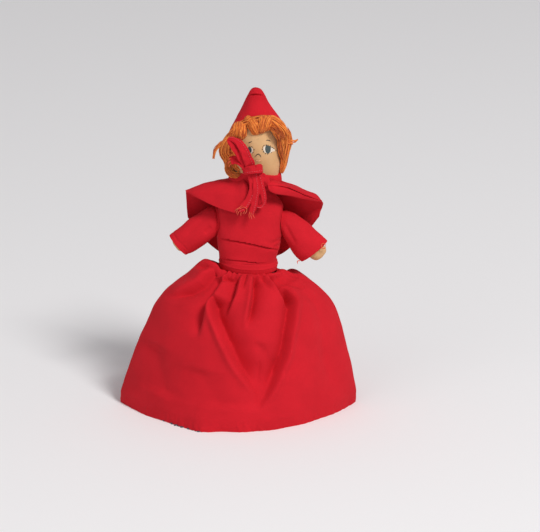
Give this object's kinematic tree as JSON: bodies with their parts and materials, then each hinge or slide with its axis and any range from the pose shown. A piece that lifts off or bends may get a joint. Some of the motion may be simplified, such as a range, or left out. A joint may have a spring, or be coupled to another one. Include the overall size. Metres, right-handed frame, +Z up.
{
  "type": "topsy turvy doll",
  "caption": "Two stuffed half dolls joined at the waist under one reversible gathered skirt; one wears a red dress, cape and pointed hood, the other hides upside down inside.",
  "frame": {"origin": "middle of the skirt's hem, on the surface the doll stands on", "axes": "+Z up from the hem to the hood, the doll faces -Y, +X to the viewer's right"},
  "size_m": [0.136, 0.104, 0.1912],
  "materials": {
    "red_cotton": "plain woven cotton, matt",
    "dark_cotton": "plain woven cotton with small dots, matt",
    "skin_cotton": "stuffed cotton cloth, matt",
    "brown_cotton": "stuffed cotton cloth, matt",
    "orange_yarn": "fine yarn, matt",
    "dark_yarn": "fine yarn, matt"
  },
  "bodies": {
    "dolls": {"skirt_outer": "red_cotton", "skirt_lining": "dark_cotton", "upper_torso": "skin_cotton", "upper_bodice": "red_cotton", "upper_waist_band": "red_cotton", "upper_collar": "red_cotton", "cape": "red_cotton", "tie_knot": "red_cotton", "tie_long_loop": "red_cotton", "tie_short_loop": "red_cotton", "tie_left_tail": "red_cotton", "tie_right_tail": "red_cotton", "second_torso": "brown_cotton", "second_bodice": "dark_cotton", "second_waist_band": "dark_cotton", "second_collar": "dark_cotton"},
    "hem": {"skirt_hem": "dark_cotton"},
    "upper_head": {"upper_head": "skin_cotton", "hood": "red_cotton", "hair_fringe": "orange_yarn", "hair_left": "orange_yarn", "hair_right": "orange_yarn", "hair_back": "orange_yarn"},
    "upper_left_arm": {"upper_left_arm": "skin_cotton", "upper_left_sleeve": "red_cotton"},
    "upper_right_arm": {"upper_right_arm": "skin_cotton", "upper_right_sleeve": "red_cotton"},
    "second_head": {"second_head": "brown_cotton", "second_hair_fringe": "dark_yarn", "second_hair_left": "dark_yarn", "second_hair_right": "dark_yarn", "second_hair_back": "dark_yarn"},
    "second_left_arm": {"second_left_arm": "brown_cotton", "second_left_sleeve": "dark_cotton"},
    "second_right_arm": {"second_right_arm": "brown_cotton", "second_right_sleeve": "dark_cotton"}
  },
  "joints": [
    {"name": "skirt_lift", "type": "slide", "parent": "dolls", "child": "hem", "axis": [0, 0, 1], "range_m": [0, 0.057], "deforming": ["skirt_outer", "skirt_lining"]},
    {"name": "upper_head_nod", "type": "hinge", "parent": "dolls", "child": "upper_head", "pos_m": [0.00885, 0, 0.14031], "axis": [0.9986, 0, -0.0523], "range_deg": [-12, 3]},
    {"name": "upper_left_arm_swing", "type": "hinge", "parent": "dolls", "child": "upper_left_arm", "pos_m": [-0.01161, 0, 0.11284], "axis": [-0.9986, 0, 0.0523], "range_deg": [-4, 30]},
    {"name": "upper_right_arm_swing", "type": "hinge", "parent": "dolls", "child": "upper_right_arm", "pos_m": [0.02634, 0, 0.11085], "axis": [-0.9986, 0, 0.0523], "range_deg": [-4, 30]},
    {"name": "second_head_nod", "type": "hinge", "parent": "dolls", "child": "second_head", "pos_m": [0.00334, 0, 0.03515], "axis": [-0.9986, 0, 0.0523], "range_deg": [-10, 10]},
    {"name": "second_left_arm_swing", "type": "hinge", "parent": "dolls", "child": "second_left_arm", "pos_m": [0.02161, 0, 0.05703], "axis": [0.9986, 0, -0.0523], "range_deg": [-10, 20]},
    {"name": "second_right_arm_swing", "type": "hinge", "parent": "dolls", "child": "second_right_arm", "pos_m": [-0.01254, 0, 0.05881], "axis": [0.9986, 0, -0.0523], "range_deg": [-10, 20]}
  ]
}
